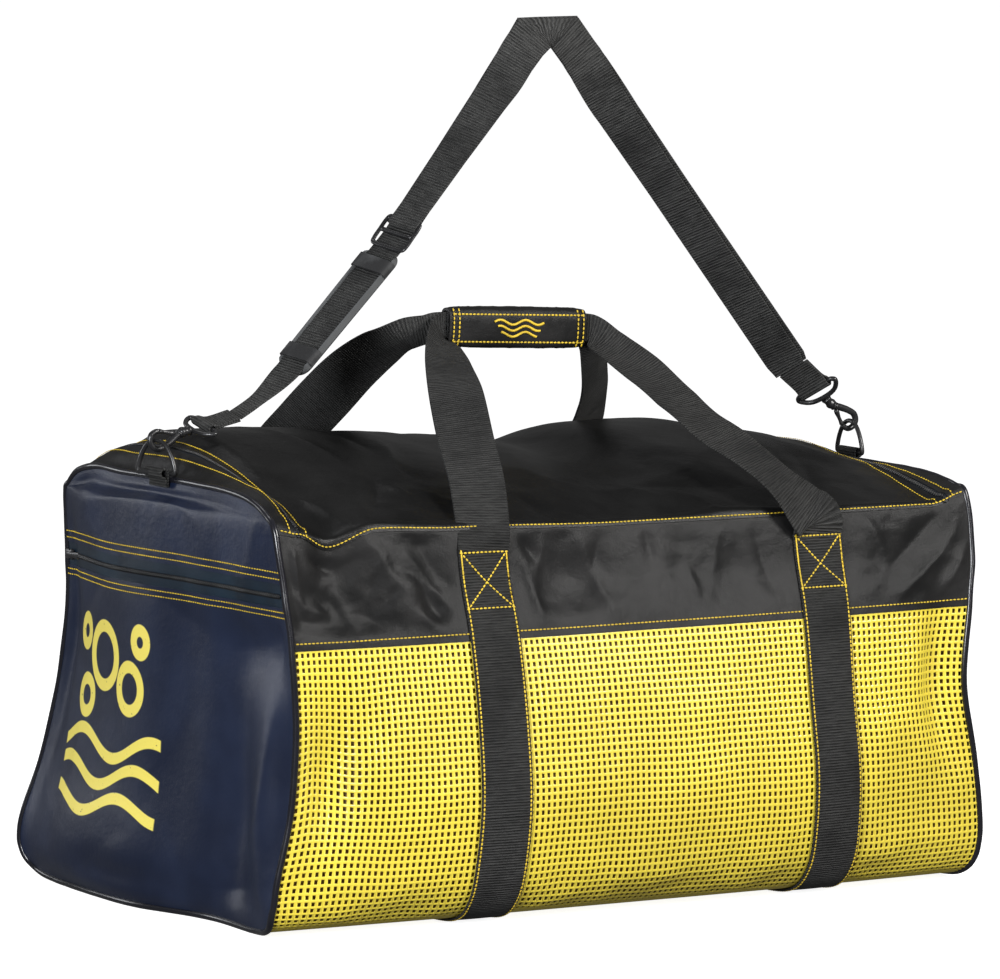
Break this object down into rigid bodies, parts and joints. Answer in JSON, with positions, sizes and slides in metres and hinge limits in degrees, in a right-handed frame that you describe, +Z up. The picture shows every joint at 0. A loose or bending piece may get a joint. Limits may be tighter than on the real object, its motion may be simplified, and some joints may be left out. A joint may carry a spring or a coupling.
{
  "type": "mesh gear duffel bag",
  "caption": "Rectangular net duffel with coated band and zipped lid, cloth ends, webbing girths, joined carry handles and a padded clip-on shoulder strap held up taut.",
  "frame": {"origin": "middle of the shoulder strap's folded top edge, where the strap is held up", "axes": "+X along the bag's length from the pocket end to the plain end, -Y towards the long side with the front of the handles, +Z up"},
  "size_m": [0.7537, 0.5123, 0.782],
  "materials": {
    "mesh": "glossy coated net",
    "coated_cloth": "semi-gloss coated nylon",
    "navy_cloth": "coated woven nylon",
    "webbing": "ribbed webbing",
    "piping": "glossy vinyl",
    "zipper": "tape and coil",
    "hard_plastic": "moulded, semi-gloss",
    "rubber": "matt moulded"
  },
  "bodies": {
    "root": {"mesh_front": "mesh", "mesh_bottom": "mesh", "mesh_back": "mesh", "band_front": "coated_cloth", "band_back": "coated_cloth", "lid_panel": "coated_cloth", "lid_zipper": "zipper", "lid_border": "coated_cloth", "lid_slider": "hard_plastic", "lid_pull": "hard_plastic", "pocket_panel_left": "navy_cloth", "pocket_zipper": "zipper", "end_panel_left": "navy_cloth", "end_panel_right": "navy_cloth", "piping_left": "piping", "piping_right": "piping", "pocket_slider": "hard_plastic", "pocket_pull": "hard_plastic", "girth_strip_left": "webbing", "girth_strip_right": "webbing", "handle_front": "webbing", "handle_back": "webbing", "grip_wrap": "coated_cloth", "ring_tab_left": "webbing", "ring_tab_right": "webbing", "d_ring_left": "hard_plastic", "d_ring_right": "hard_plastic", "hook_frame_left": "hard_plastic", "hook_frame_right": "hard_plastic", "hook_body_left": "hard_plastic", "hook_body_right": "hard_plastic", "hook_gate_left": "hard_plastic", "hook_gate_right": "hard_plastic", "strap_loop_left": "webbing", "strap_loop_right": "webbing", "shoulder_strap": "webbing", "strap_return": "webbing", "strap_glide": "hard_plastic", "shoulder_pad": "rubber", "pad_bridge_upper": "rubber", "pad_bridge_lower": "rubber"}
  },
  "joints": []
}
